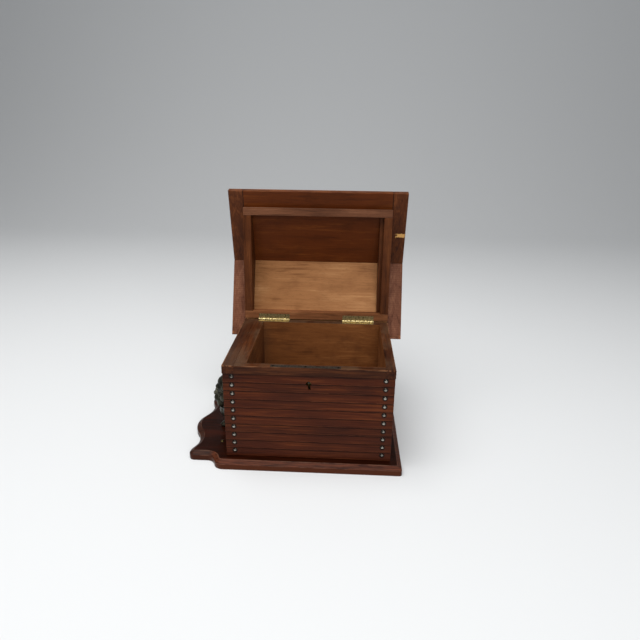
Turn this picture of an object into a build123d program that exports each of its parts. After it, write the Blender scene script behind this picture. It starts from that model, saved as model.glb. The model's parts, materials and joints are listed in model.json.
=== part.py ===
from build123d import *
from math import asin, atan, cos, degrees, hypot, sin, tan
import os

# Cigar humidor in the form of a clapboard kennel, with its lid open.
# Origin: middle of the case on the underside of the plinth. X runs left to right, Y front to back.
# The gable end on the left has the doorway with the cast bulldog; the lid is hinged at the back.

# Case
body_length = 190.0
body_depth = 145.0
body_height = 115.0
front_wall_thickness = 9.0
back_wall_thickness = 9.0
right_wall_thickness = 11.0
left_board_thickness = 13.2
floor_thickness = 6.0
top_band = 9.6

# Clapboards and their tacks
courses = 10
siding_recess = 3.4
board_thick_edge = 3.0
board_thin_edge = 2.0
board_ease = 0.6
board_gap = 0.1
nail_inset = 10.4
nail_drop = 3.6
nail_head_radius = 2.4
nail_head_height = 1.15
nail_shank = 1.1
nail_length = 7.0
door_nail_gap = 3.5

# Plinth
plinth_thickness = 10.5
plinth_margin = 12.5
plinth_bevel_width = 5.5
plinth_bevel_height = 4.0
plinth_corner = 3.0
yard_start = 3.0
yard_ogee_length = 21.0
yard_setback = 15.9
ear_reach = 46.0
ear_round = 6.6
waist_reach = 40.0
waist_from_middle = 40.5
bulge_reach = 52.5

# Doorway
door_width = 52.0
door_height = 80.0
surround_width = 5.0

# Lid
front_overhang = 20.2
rear_overhang = 24.4
side_overhang = 18.7
ridge_rise = 30.4
rear_eave_rise = 0.9
roof_thickness = 8.0
roof_ease = 0.8
rail_width = 9.6
side_rail_width = 10.4
left_gable_thickness = 10.4
right_gable_thickness = 15.0
rim_gap = 0.15
stop_gap = 0.3

# Butt hinges
hinge_length = 41.0
hinge_offset = 55.7
hinge_setback = 1.3
knuckle_radius = 1.9
knuckle_count = 5
knuckle_gap = 0.1
hinge_pin_radius = 1.0
hinge_pin_end = 0.5
pin_clearance = 0.05
leaf_reach = 6.4
leaf_thickness = 1.2
leaf_face_gap = 0.1
leaf_side_gap = 0.1
groove_clearance = 0.25
hinge_screw_spacing = 27.0
hinge_screw_reach = 4.2
hinge_screw_radius = 0.8
hinge_screw_head = 1.5
hinge_screw_length = 7.0

# Lock
keyhole_x = 0.4
keyhole_drop = 19.5
keyhole_radius = 2.9
keyhole_slot_width = 2.7
keyhole_slot_drop = 7.4
keyhole_lean = 9.0
lock_length = 42.0
lock_height = 28.0
lock_top_drop = 3.0
lock_skin = 0.8
key_pin_radius = 1.1
bolt_left = 16.0
bolt_right = 13.5
bolt_height = 4.5
bolt_thickness = 1.8
bolt_tail_width = 9.0
bolt_tail_height = 5.0
bolt_clearance = 0.1
bolt_travel = 5.0
prong_spacing = 20.0
prong_slot_length = 5.0
prong_slot_width = 1.5
prong_notch_depth = 2.4
talon_width = 3.6
talon_depth = 2.0

# Selvedge strip on the rim over the lock
selvedge_length = 77.0
selvedge_middle = -3.2
selvedge_edge = 1.2
selvedge_width = 5.2
selvedge_thickness = 1.5
selvedge_screw_inset = 2.7
selvedge_screw_radius = 0.7
selvedge_screw_head = 1.4
selvedge_screw_length = 2.8

# Screws up through the plinth, and the two tacks on the yard
screw_radius = 1.6
screw_head_radius = 3.2
screw_clearance = 0.2
screw_slot_width = 0.8
screw_slot_depth = 0.5
screw_sink = 0.1
case_screw_length = 24.0
case_screw_y = 50.0
figure_screw_length = 18.0
figure_screw_y = 9.0
figure_screw_reach = 9.0
tack_from_middle = 43.5
tack_reach = 11.0

# Places worked out from the sizes above
floor_z = plinth_thickness
rim_z = plinth_thickness + body_height
band_z = rim_z - top_band
course_height = (band_z - floor_z) / courses
left_x = -body_length / 2
right_x = body_length / 2
front_y = -body_depth / 2
back_y = body_depth / 2
inner_front_y = front_y + front_wall_thickness
inner_back_y = back_y - back_wall_thickness
inner_right_x = right_x - right_wall_thickness
recess_x = left_x + left_board_thickness
inner_left_x = recess_x + left_board_thickness
siding_front_y = front_y + siding_recess
siding_back_y = back_y - siding_recess
siding_left_x = left_x + siding_recess
siding_right_x = right_x - siding_recess

# The open lid leans back until its rear eave meets the back wall
hinge_y = back_y + hinge_setback
hinge_axis = Axis((0, hinge_y, rim_z), (1, 0, 0))
pitch = atan((ridge_rise - rear_eave_rise) / (body_depth / 2 + rear_overhang))
eave_reach = rear_overhang - hinge_setback
eave_swing = asin((hinge_setback - stop_gap) / hypot(eave_reach, rear_eave_rise))
lid_open_angle = 90 + degrees(eave_swing + atan(rear_eave_rise / eave_reach))

# Faces of the walls behind the clapboards: x along the wall, y up, z outwards
front_face = Plane(origin=(0, siding_front_y, floor_z), x_dir=(1, 0, 0), z_dir=(0, -1, 0))
back_face = Plane(origin=(0, siding_back_y, floor_z), x_dir=(-1, 0, 0), z_dir=(0, 1, 0))
right_face = Plane(origin=(siding_right_x, 0, floor_z), x_dir=(0, 1, 0), z_dir=(1, 0, 0))
left_face = Plane(origin=(siding_left_x, 0, floor_z), x_dir=(0, -1, 0), z_dir=(-1, 0, 0))

os.makedirs("parts", exist_ok=True)


def save(piece, name):
    """Label a finished piece and write it under its own name."""
    piece.label = name
    export_step(piece, f"parts/{name}.step")


def save_opened(piece, name):
    """Swing a lid piece from its closed place to the open lid's place, then write it."""
    save(piece.rotate(hinge_axis, -lid_open_angle), name)


def block(x_span, y_span, z_span, mode=Mode.ADD):
    """A rectangular block between two places on each axis."""
    spans = (x_span, y_span, z_span)
    with Locations(tuple((low + high) / 2 for low, high in spans)):
        Box(*(high - low for low, high in spans), mode=mode)


def rod_along_x(x_middle, y, z, radius, length, mode=Mode.ADD):
    """A round rod parallel to the hinge line."""
    with Locations(Location((x_middle, y, z), (0, 90, 0))):
        Cylinder(radius, length, mode=mode)


# Plinth board: bevelled all round, with a serpentine yard in front of the doorway
plinth_front = front_y - plinth_margin
plinth_right = right_x + plinth_margin
ear_front = plinth_front + yard_setback
ogee_start = (left_x - yard_start, plinth_front)
ogee_end = (left_x - yard_start - yard_ogee_length, ear_front)
ear_end = (left_x - ear_reach + ear_round, ear_front)
ear_tip = (left_x - ear_reach, ear_front + ear_round)
waist = (left_x - waist_reach, -waist_from_middle)
bulge = (left_x - bulge_reach, 0)
case_screw_places = [
    ((x, y, 0), (180, 0, 0))
    for x in ((siding_left_x + recess_x) / 2, (inner_right_x + siding_right_x) / 2)
    for y in (-case_screw_y, case_screw_y)
]
figure_screw_x = left_x - figure_screw_reach
figure_screw_places = [((figure_screw_x, y, 0), (180, 0, 0)) for y in (-figure_screw_y, figure_screw_y)]


def halfway(start, end):
    """The point where an S-curve between two parallel tangents turns over."""
    return ((start[0] + end[0]) / 2, (start[1] + end[1]) / 2)


with BuildPart() as plinth:
    with BuildSketch():
        with BuildLine():
            Polyline((plinth_right, 0), (plinth_right, plinth_front), ogee_start)
            hollow = TangentArc(ogee_end, halfway(ogee_end, ogee_start), tangent=(1, 0))
            TangentArc(halfway(ogee_end, ogee_start), ogee_start, tangent=hollow % 1)
            Line(ogee_end, ear_end)
            TangentArc(ear_end, ear_tip, tangent=(-1, 0))
            ear_side = TangentArc(ear_tip, halfway(ear_tip, waist), tangent=(0, 1))
            TangentArc(halfway(ear_tip, waist), waist, tangent=ear_side % 1)
            waist_side = TangentArc(waist, halfway(waist, bulge), tangent=(0, 1))
            TangentArc(halfway(waist, bulge), bulge, tangent=waist_side % 1)
            mirror(about=Plane.XZ)
        make_face()
    extrude(amount=plinth_thickness)
    top_face = plinth.faces().sort_by(Axis.Z)[-1]
    chamfer(top_face.edges(), length=plinth_bevel_width, length2=plinth_bevel_height, reference=top_face)
    with BuildSketch():
        with Locations((plinth_right, 0)):
            plinth_depth = -2 * plinth_front
            RectangleRounded(2 * body_length, plinth_depth, plinth_corner, align=(Align.MAX, Align.CENTER))
    extrude(amount=plinth_thickness, mode=Mode.INTERSECT)
    with Locations(*[Location(*place) for place in case_screw_places + figure_screw_places]):
        bore_radius = screw_radius + screw_clearance
        CounterSinkHole(bore_radius, screw_head_radius + screw_clearance, counter_sink_angle=90)
save(plinth.part, "plinth")


# Case walls: full thickness at the top band, cut back below it for the clapboards
with BuildPart() as floor_board:
    block((inner_left_x, inner_right_x), (inner_front_y, inner_back_y), (floor_z, floor_z + floor_thickness))
save(floor_board.part, "floor_board")


def cut_keyhole():
    """The keyhole, cut through everything in front of the lock's cavity: round, with a narrow slot below."""
    with BuildSketch(keyhole_plane) as keyhole:
        Circle(keyhole_radius)
        hung = (Align.CENTER, Align.MAX)
        Rectangle(keyhole_slot_width, keyhole_slot_drop, rotation=keyhole_lean, align=hung)
    extrude(keyhole.sketch, amount=2 * front_wall_thickness, mode=Mode.SUBTRACT)


lock_front_y = siding_front_y
lock_back_y = inner_front_y
cavity_front_y = lock_front_y + lock_skin
cap_front_y = lock_back_y - lock_skin
lock_top_z = rim_z - lock_top_drop
lock_bottom_z = lock_top_z - lock_height
lock_left_x = keyhole_x - lock_length / 2
lock_right_x = keyhole_x + lock_length / 2
prong_y = cavity_front_y + bolt_clearance + bolt_thickness / 2
prong_places = [(keyhole_x + offset, prong_y) for offset in (-prong_spacing / 2, prong_spacing / 2)]
selvedge_x = (selvedge_middle - selvedge_length / 2, selvedge_middle + selvedge_length / 2)
selvedge_y = (front_y + selvedge_edge, front_y + selvedge_edge + selvedge_width)
keyhole_z = rim_z - keyhole_drop
keyhole_plane = Plane(origin=(keyhole_x, cap_front_y, keyhole_z), x_dir=(1, 0, 0), z_dir=(0, -1, 0))


def cut_prong_slots():
    """Two slots down into the lock's cavity, for the prongs of a link plate."""
    with BuildSketch(Plane.XY.offset(lock_top_z - lock_skin)) as slots:
        with Locations(*prong_places):
            Rectangle(prong_slot_length, prong_slot_width)
    extrude(slots.sketch, amount=lock_skin + lock_top_drop, mode=Mode.SUBTRACT)


with BuildPart() as front_wall:
    block((recess_x, inner_right_x), (front_y, inner_front_y), (floor_z, rim_z))
    block((recess_x, inner_right_x), (front_y, siding_front_y), (floor_z, band_z), Mode.SUBTRACT)
    lock_z = (lock_bottom_z, lock_top_z)
    block((lock_left_x, lock_right_x), (lock_front_y, lock_back_y), lock_z, Mode.SUBTRACT)
    block(selvedge_x, selvedge_y, (rim_z - selvedge_thickness, rim_z), Mode.SUBTRACT)
    cut_prong_slots()
save(front_wall.part, "front_wall")

hinge_middles = {"left": -hinge_offset, "right": hinge_offset}


def cut_hinge_seats(side):
    """Seats for both leaves and knuckles; side is -1 in the case's rim and +1 in the lid's rail."""
    face_z = rim_z + side * (leaf_face_gap + leaf_thickness)
    half_seat = hinge_length / 2 + leaf_side_gap
    for middle in hinge_middles.values():
        x_span = (middle - half_seat, middle + half_seat)
        z_span = sorted((face_z, rim_z - side * leaf_thickness))
        block(x_span, (back_y - leaf_reach, hinge_y), z_span, Mode.SUBTRACT)
        rod_along_x(middle, hinge_y, rim_z, knuckle_radius + groove_clearance, 2 * half_seat, Mode.SUBTRACT)


with BuildPart() as back_wall:
    block((recess_x, inner_right_x), (inner_back_y, back_y), (floor_z, rim_z))
    block((recess_x, inner_right_x), (siding_back_y, back_y), (floor_z, band_z), Mode.SUBTRACT)
    cut_hinge_seats(-1)
save(back_wall.part, "back_wall")

with BuildPart() as right_wall:
    block((inner_right_x, siding_right_x), (siding_front_y, siding_back_y), (floor_z, rim_z))
    block((inner_right_x, right_x), (front_y, back_y), (band_z, rim_z))
save(right_wall.part, "right_wall")


def doorway_arch(width, height):
    """A round-headed outline on the left wall's face, standing on the plinth."""
    spring = height - width / 2
    with BuildSketch(left_face) as arch:
        with BuildLine():
            Polyline((-width / 2, spring), (-width / 2, 0), (width / 2, 0), (width / 2, spring))
            ThreePointArc((width / 2, spring), (0, height), (-width / 2, spring))
        make_face()
    return arch.sketch


with BuildPart() as left_outer_wall:
    block((siding_left_x, recess_x), (siding_front_y, siding_back_y), (floor_z, rim_z))
    block((left_x, recess_x), (front_y, back_y), (band_z, rim_z))
    extrude(doorway_arch(door_width, door_height), amount=-left_board_thickness, mode=Mode.SUBTRACT)
save(left_outer_wall.part, "left_outer_wall")

with BuildPart() as left_inner_wall:
    block((recess_x, inner_left_x), (inner_front_y, inner_back_y), (floor_z, rim_z))
save(left_inner_wall.part, "left_inner_wall")

surround_outer_width = door_width + 2 * surround_width
surround_outer_height = door_height + surround_width
with BuildPart() as doorway_surround:
    extrude(doorway_arch(surround_outer_width, surround_outer_height), amount=siding_recess)
    extrude(doorway_arch(door_width, door_height), amount=siding_recess, mode=Mode.SUBTRACT)
save(doorway_surround.part, "doorway_surround")


# Clapboards: each is thin at its upper edge and stands proud of the next one at its lower edge
def clapboard(wall_face, half_length, course, cut_opening=None):
    """One board, counted upwards from the plinth, cut where a keyhole or a doorway passes."""
    right_end = wall_face.from_local_coords((half_length, course * course_height, 0))
    with BuildPart() as board:
        with BuildSketch(Plane(origin=right_end, x_dir=wall_face.z_dir, z_dir=-wall_face.x_dir)):
            with BuildLine():
                Polyline(
                    (0, 0),
                    (board_thick_edge - board_ease, 0),
                    (board_thick_edge, board_ease),
                    (board_thin_edge, course_height - board_gap),
                    (0, course_height - board_gap),
                    close=True,
                )
            make_face()
        extrude(amount=2 * half_length)
        if cut_opening:
            cut_opening()
    return board.part


def cut_surround():
    """The boards stop against the outside of the doorway's surround."""
    outside = doorway_arch(surround_outer_width, surround_outer_height)
    extrude(outside, amount=siding_recess, mode=Mode.SUBTRACT)


long_board = body_length / 2 - siding_recess + board_thick_edge
short_board = body_depth / 2 - siding_recess
for number in range(1, courses + 1):
    save(clapboard(front_face, long_board, courses - number, cut_keyhole), f"front_clapboard_{number:02d}")

for name, wall_face, half_length, cut_opening in (
    ("back_clapboards", back_face, long_board, None),
    ("right_clapboards", right_face, short_board, None),
    ("left_clapboards", left_face, short_board, cut_surround),
):
    boards = [clapboard(wall_face, half_length, course, cut_opening).solids() for course in range(courses)]
    save(Compound([solid for pieces in boards for solid in pieces]), name)

# Domed tacks with square shanks: one at each end of every board, and two on the yard
nail_seat = board_thin_edge + (board_thick_edge - board_thin_edge) * nail_drop / course_height
with BuildPart() as nail:
    with BuildSketch(Plane.XZ):
        with BuildLine():
            TangentArc((0, nail_head_height), (nail_head_radius, 0), tangent=(1, 0))
            Polyline((nail_head_radius, 0), (0, 0), (0, nail_head_height))
        make_face()
    revolve(axis=Axis.Z)
    with BuildSketch():
        Rectangle(nail_shank, nail_shank)
    extrude(amount=-nail_length)


def nails(places):
    """Copies of the tack, each with its dome outwards at its own place."""
    return Compound([place * nail.part.solid() for place in places])


def nail_rows(wall_face, columns):
    """Places for one tack per board in each column, just under the board's upper edge."""
    heights = [(course + 1) * course_height - nail_drop for course in range(courses)]
    return [wall_face.location * Location((x, height, nail_seat)) for x in columns for height in heights]


def beside_doorway(wall_face):
    """Places for the tacks of the short boards next to the doorway's surround."""
    column = surround_outer_width / 2 + door_nail_gap
    heights = [(course + 1) * course_height - nail_drop for course in range(courses)]
    return [
        wall_face.location * Location((x, height, nail_seat))
        for x in (-column, column)
        for height in heights
        if height < door_height - door_width / 2
    ]


long_columns = (nail_inset - body_length / 2, body_length / 2 - nail_inset)
short_columns = (nail_inset - body_depth / 2, body_depth / 2 - nail_inset)
save(nails(nail_rows(front_face, long_columns)), "front_nails")
save(nails(nail_rows(back_face, long_columns)), "back_nails")
save(nails(nail_rows(right_face, short_columns)), "right_nails")
save(nails(nail_rows(left_face, short_columns) + beside_doorway(left_face)), "left_nails")
tack_places = [Location((left_x - tack_reach, y, floor_z)) for y in (-tack_from_middle, tack_from_middle)]
save(nails(tack_places), "yard_tacks")


# Cast bulldog coming out of the doorway: one solid casting, hollowed nowhere, flat under its paws
def mass(centre, radii):
    """An egg-shaped mass of the casting, measured from the wall's face at the plinth's top."""
    return Location((left_x + centre[0], centre[1], floor_z + centre[2])) * scale(Sphere(1), by=radii)


chest = ((-5, 0, 17), (18, 18.5, 20))
neck = ((-3, 0, 34), (14.5, 16, 15))
skull = ((-6, 0, 54), (16.5, 18, 15))
muzzle = ((-17.5, 0, 40), (11, 12.5, 8))
nose = ((-26.4, 0, 42.8), (3.4, 4.8, 3.2))
chin = ((-16.5, 0, 30.5), (7.5, 7.5, 4.5))
brow = ((-18, 7.5, 56), (6.8, 7, 6.5))
cheek = ((-8, 13, 45), (10, 8, 10))
jowl = ((-17.5, 8, 35.5), (8, 6, 7.5))
ear = ((-5, 17, 63), (3.5, 6, 7))
ear_fold = ((-8.5, 18.5, 60), (3, 3.5, 4))
shoulder = ((-7, 13.5, 24), (9, 7.5, 12))
foreleg = ((-9.5, 9.5, 12), (6, 5.4, 14))
paw = ((-12.5, 8, 3.5), (7.5, 5.2, 4.4))
middle_pieces = [mass(centre, radii) for centre, radii in (chest, neck, skull, muzzle, nose, chin)]
side_pieces = [
    mass((x, side * y, z), radii)
    for (x, y, z), radii in (brow, cheek, jowl, ear, ear_fold, shoulder, foreleg, paw)
    for side in (-1, 1)
]
with BuildPart() as bulldog:
    for piece in middle_pieces + side_pieces:
        add(piece)
    split(bisect_by=Plane.XY.offset(floor_z), keep=Keep.TOP)
    screw_bore_depth = figure_screw_length - floor_z + screw_radius
    with Locations(*[(x, y, floor_z) for (x, y, _), _ in figure_screw_places]):
        Cylinder(screw_radius + pin_clearance, 2 * screw_bore_depth, mode=Mode.SUBTRACT)
save(bulldog.part, "bulldog")


def screw(shank_radius, head_radius, length):
    """A countersunk screw with its slotted head at the origin, facing down, and its shank going up."""
    slot_width = screw_slot_width * shank_radius / screw_radius
    with BuildPart() as fastener:
        with BuildSketch(Plane.XZ):
            with BuildLine():
                Polyline(
                    (0, 0),
                    (head_radius, 0),
                    (shank_radius, head_radius - shank_radius),
                    (shank_radius, length - shank_radius),
                    (0, length),
                    close=True,
                )
            make_face()
        revolve(axis=Axis.Z)
        Box(3 * head_radius, slot_width, 2 * screw_slot_depth, mode=Mode.SUBTRACT)
    return fastener.part.solid()


def screws(fastener, places):
    """Copies of a screw, each at its own place."""
    return Compound([Location(*place) * fastener for place in places])


case_screw = screw(screw_radius, screw_head_radius, case_screw_length)
figure_screw = screw(screw_radius, screw_head_radius, figure_screw_length)
for fastener, bores, name in (
    (case_screw, case_screw_places, "case_screws"),
    (figure_screw, figure_screw_places, "figure_screws"),
):
    save(screws(fastener, [((x, y, screw_sink), (0, 0, 0)) for (x, y, _), _ in bores]), name)

# Lock: a box let into the inside of the front wall, with a bolt that slides under the link plate's slots
bolt_top_z = lock_top_z - lock_skin - bolt_clearance
bolt_bottom_z = bolt_top_z - bolt_height
bolt_y = (cavity_front_y + bolt_clearance, cavity_front_y + bolt_clearance + bolt_thickness)
tail_x = (keyhole_x - bolt_tail_width / 2, keyhole_x + bolt_tail_width / 2)
guide_z = (bolt_bottom_z - bolt_clearance - lock_skin, bolt_bottom_z - bolt_clearance)
guide_left_x = tail_x[0] - bolt_clearance
guide_right_x = tail_x[1] + bolt_travel + bolt_clearance
with BuildPart() as lock_case:
    block((lock_left_x, lock_right_x), (lock_front_y, cap_front_y), (lock_bottom_z, lock_top_z))
    block(
        (lock_left_x + lock_skin, lock_right_x - lock_skin),
        (cavity_front_y, cap_front_y),
        (lock_bottom_z + lock_skin, lock_top_z - lock_skin),
        Mode.SUBTRACT,
    )
    block((lock_left_x, guide_left_x), (lock_front_y, cap_front_y), guide_z)
    block((guide_right_x, lock_right_x), (lock_front_y, cap_front_y), guide_z)
    cut_keyhole()
    cut_prong_slots()
save(lock_case.part, "lock_case")

with BuildPart() as lock_cap:
    block((lock_left_x, lock_right_x), (cap_front_y, lock_back_y), (lock_bottom_z, lock_top_z))
    with Locations(Location((keyhole_x, lock_back_y, keyhole_z), (90, 0, 0))):
        Cylinder(key_pin_radius, 3 * lock_skin, mode=Mode.SUBTRACT)
save(lock_cap.part, "lock_cap")

with BuildPart() as key_pin:
    with BuildSketch(Plane(origin=(keyhole_x, lock_back_y, keyhole_z), z_dir=(0, -1, 0))):
        Circle(key_pin_radius)
    extrude(amount=lock_back_y - lock_front_y)
    chamfer(key_pin.faces().sort_by(Axis.Y)[0].edges(), length=key_pin_radius / 3)
save(key_pin.part, "key_pin")

with BuildPart() as lock_bolt:
    block((keyhole_x - bolt_left, keyhole_x + bolt_right), bolt_y, (bolt_bottom_z, bolt_top_z))
    block(tail_x, bolt_y, (bolt_bottom_z - bolt_tail_height, bolt_bottom_z))
    notch_length = prong_slot_length + 2 * bolt_clearance
    with Locations(*[(x, prong_y, bolt_top_z - prong_notch_depth / 2) for x, _ in prong_places]):
        Box(notch_length, 2 * bolt_thickness, prong_notch_depth, mode=Mode.SUBTRACT)
    with Locations((keyhole_x, prong_y, bolt_bottom_z - bolt_tail_height + talon_depth / 2)):
        Box(talon_width, 2 * bolt_thickness, talon_depth, mode=Mode.SUBTRACT)
save(lock_bolt.part, "lock_bolt")

selvedge_screw_places = [
    (x, sum(selvedge_y) / 2, rim_z)
    for x in (selvedge_x[0] + selvedge_screw_inset, selvedge_middle, selvedge_x[1] - selvedge_screw_inset)
]
with BuildPart() as lock_selvedge:
    block(selvedge_x, selvedge_y, (rim_z - selvedge_thickness, rim_z))
    with Locations(*[(x, y, rim_z) for x, y in prong_places]):
        Box(prong_slot_length, prong_slot_width, 3 * selvedge_thickness, mode=Mode.SUBTRACT)
    with Locations(*selvedge_screw_places):
        bore_radius = selvedge_screw_radius + pin_clearance
        CounterSinkHole(bore_radius, selvedge_screw_head + pin_clearance, counter_sink_angle=90)
save(lock_selvedge.part, "lock_selvedge")
selvedge_screw = screw(selvedge_screw_radius, selvedge_screw_head, selvedge_screw_length)
save(screws(selvedge_screw, [(place, (180, 0, 0)) for place in selvedge_screw_places]), "selvedge_screws")


# Hinges, drawn with the lid closed: side is -1 for the leaf on the rim and +1 for the leaf on the lid
knuckle_length = hinge_length / knuckle_count
lower_knuckles = range(0, knuckle_count, 2)
upper_knuckles = range(1, knuckle_count, 2)


def hinge_screw_places(middle, side):
    """The two screws of a leaf, each with its head in the leaf's outer face."""
    turn = (180, 0, 0) if side < 0 else (0, 0, 0)
    spots = (middle - hinge_screw_spacing / 2, middle + hinge_screw_spacing / 2)
    return [((x, back_y - hinge_screw_reach, rim_z + side * leaf_face_gap), turn) for x in spots]


def hinge_leaf(middle, side, own_knuckles, other_knuckles):
    """A leaf with its share of the knuckles, bored for the pin and countersunk for two screws."""

    def knuckle_x(number):
        return middle + (number - (knuckle_count - 1) / 2) * knuckle_length

    with BuildPart() as leaf:
        z_span = sorted((rim_z + side * leaf_face_gap, rim_z + side * (leaf_face_gap + leaf_thickness)))
        block((middle - hinge_length / 2, middle + hinge_length / 2), (back_y - leaf_reach, hinge_y), z_span)
        for number in own_knuckles:
            rod_along_x(knuckle_x(number), hinge_y, rim_z, knuckle_radius, knuckle_length - knuckle_gap)
        for number in other_knuckles:
            cleared = knuckle_radius + groove_clearance
            cleared_length = knuckle_length + knuckle_gap
            rod_along_x(knuckle_x(number), hinge_y, rim_z, cleared, cleared_length, Mode.SUBTRACT)
        pin_bore_radius = hinge_pin_radius + pin_clearance
        rod_along_x(middle, hinge_y, rim_z, pin_bore_radius, 2 * hinge_length, Mode.SUBTRACT)
        into_leaf = (0, 0, 0) if side < 0 else (180, 0, 0)
        with Locations(*[Location(spot, into_leaf) for spot, _ in hinge_screw_places(middle, side)]):
            bore_radius = hinge_screw_radius + pin_clearance
            CounterSinkHole(bore_radius, hinge_screw_head + pin_clearance, counter_sink_angle=90)
    return leaf.part


hinge_screw = screw(hinge_screw_radius, hinge_screw_head, hinge_screw_length)
lower_screw_places = []
upper_screw_places = []
for name, middle in hinge_middles.items():
    save(hinge_leaf(middle, -1, lower_knuckles, upper_knuckles), f"{name}_hinge_lower_leaf")
    save_opened(hinge_leaf(middle, 1, upper_knuckles, lower_knuckles), f"{name}_hinge_upper_leaf")
    with BuildPart() as hinge_pin:
        rod_along_x(middle, hinge_y, rim_z, hinge_pin_radius, hinge_length + 2 * hinge_pin_end)
        chamfer(hinge_pin.edges().filter_by(GeomType.CIRCLE), length=hinge_pin_end / 2)
    save(hinge_pin.part, f"{name}_hinge_pin")
    lower_screw_places += hinge_screw_places(middle, -1)
    upper_screw_places += hinge_screw_places(middle, 1)
save(screws(hinge_screw, lower_screw_places), "hinge_lower_screws")
save_opened(screws(hinge_screw, upper_screw_places), "hinge_upper_screws")


# Lid, drawn closed: four rails, a gable board on each side rail, two roof boards and four verge strips
def underside_z(y):
    """Height of the roof's underside over a place in the depth of the case."""
    return rim_z + ridge_rise - abs(y) * tan(pitch)


def extrude_along_x(x_span, outline):
    """Draw a front-to-back section and draw it out between two places along the length."""
    with BuildPart() as piece:
        with BuildSketch(Plane.YZ.offset(x_span[0])):
            with BuildLine():
                Polyline(*outline, close=True)
            make_face()
        extrude(amount=x_span[1] - x_span[0])
    return piece.part


rail_z = rim_z + rim_gap
inner_rail_front_y = front_y + rail_width
inner_rail_back_y = back_y - rail_width
eave_rail_z = underside_z(front_y)


def cross_rail(outer_y, inner_y):
    """A rail along the length, with its top planed to the roof's slope."""
    top = ((inner_y, underside_z(inner_y)), (outer_y, underside_z(outer_y)))
    return extrude_along_x((left_x, right_x), ((outer_y, rail_z), (inner_y, rail_z), *top))


save_opened(cross_rail(front_y, inner_rail_front_y), "lid_front_rail")
rear_rail_blank = cross_rail(back_y, inner_rail_back_y)
with BuildPart() as lid_rear_rail:
    add(rear_rail_blank)
    cut_hinge_seats(1)
save_opened(lid_rear_rail.part, "lid_rear_rail")

side_rails = {
    "left": (left_x, left_x + side_rail_width),
    "right": (right_x - side_rail_width, right_x),
}
gables = {
    "left": (left_x, left_x + left_gable_thickness),
    "right": (right_x - right_gable_thickness, right_x),
}
gable_outline = (
    (inner_rail_front_y, eave_rail_z),
    (inner_rail_back_y, eave_rail_z),
    (inner_rail_back_y, underside_z(inner_rail_back_y)),
    (0, underside_z(0)),
    (inner_rail_front_y, underside_z(inner_rail_front_y)),
)
for name, x_span in side_rails.items():
    with BuildPart() as side_rail:
        block(x_span, (inner_rail_front_y, inner_rail_back_y), (rail_z, eave_rail_z))
    save_opened(side_rail.part, f"lid_{name}_rail")
for name, x_span in gables.items():
    save_opened(extrude_along_x(x_span, gable_outline), f"lid_{name}_gable")


def roof_slope(x_span, toward, overhang):
    """A board of one slope, mitred at the ridge and eased at the eave; toward is -1 for the front."""
    run = body_depth / 2 + overhang
    eave = (toward * run, underside_z(run))
    eave_top = (eave[0] + toward * roof_thickness * sin(pitch), eave[1] + roof_thickness * cos(pitch))
    ridge_top = (0, underside_z(0) + roof_thickness / cos(pitch))
    blank = extrude_along_x(x_span, (eave, eave_top, ridge_top, (0, underside_z(0))))
    with BuildPart() as board:
        add(blank)
        eave_edges = board.edges().filter_by(Axis.X).sort_by(Axis((0, 0, 0), (0, toward, 0)))[-2:]
        fillet(eave_edges, radius=roof_ease)
    return board.part


slopes = {"front": (-1, front_overhang), "rear": (1, rear_overhang)}
verges = {"left": (left_x - side_overhang, left_x), "right": (right_x, right_x + side_overhang)}
for slope, (toward, overhang) in slopes.items():
    save_opened(roof_slope((left_x, right_x), toward, overhang), f"roof_{slope}_board")
    for name, x_span in verges.items():
        save_opened(roof_slope(x_span, toward, overhang), f"verge_{slope}_{name}")

print(f"lid open by {lid_open_angle:.3f} degrees, hinge line at y {hinge_y:.3f} z {rim_z:.3f}")
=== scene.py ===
# %% [markdown]
# A cigar humidor built as a little clapboard kennel, with its pitched roof
# standing open and a cast bulldog looking out of the doorway in its left end.
# Every wooden and brass part is already solid geometry, packed in metres in one
# shared frame. This lesson dresses it: the photograph's camera, a studio, a
# mahogany that changes from board to board, worn metals, and a finer bulldog.

import json
from math import degrees, pi, radians

import bpy
from mathutils import Matrix, Vector


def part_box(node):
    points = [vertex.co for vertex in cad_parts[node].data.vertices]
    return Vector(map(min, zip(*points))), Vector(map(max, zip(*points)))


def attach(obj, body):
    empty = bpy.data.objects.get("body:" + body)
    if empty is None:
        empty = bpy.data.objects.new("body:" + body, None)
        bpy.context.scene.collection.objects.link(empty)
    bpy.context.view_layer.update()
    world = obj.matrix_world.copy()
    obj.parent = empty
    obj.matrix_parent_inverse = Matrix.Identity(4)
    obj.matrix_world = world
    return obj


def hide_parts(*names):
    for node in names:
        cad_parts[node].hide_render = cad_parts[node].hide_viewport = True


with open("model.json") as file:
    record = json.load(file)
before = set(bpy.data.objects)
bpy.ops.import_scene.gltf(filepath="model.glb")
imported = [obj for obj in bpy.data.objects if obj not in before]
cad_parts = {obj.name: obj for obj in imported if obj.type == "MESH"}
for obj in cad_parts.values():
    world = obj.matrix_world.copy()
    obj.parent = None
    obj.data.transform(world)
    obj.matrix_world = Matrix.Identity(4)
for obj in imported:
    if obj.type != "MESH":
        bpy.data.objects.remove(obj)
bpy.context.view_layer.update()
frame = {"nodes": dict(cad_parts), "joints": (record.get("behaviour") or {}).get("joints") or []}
nodes = frame["nodes"]
bpy.ops.object.select_all(action="DESELECT")

MM = 0.001

# %% [markdown]
# The finishes need a few places on the object: where the clapboards start,
# where the rim is, and where the lid turns. They are read from the frame, so
# most of the patterns follow the geometry when a size changes.

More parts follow.
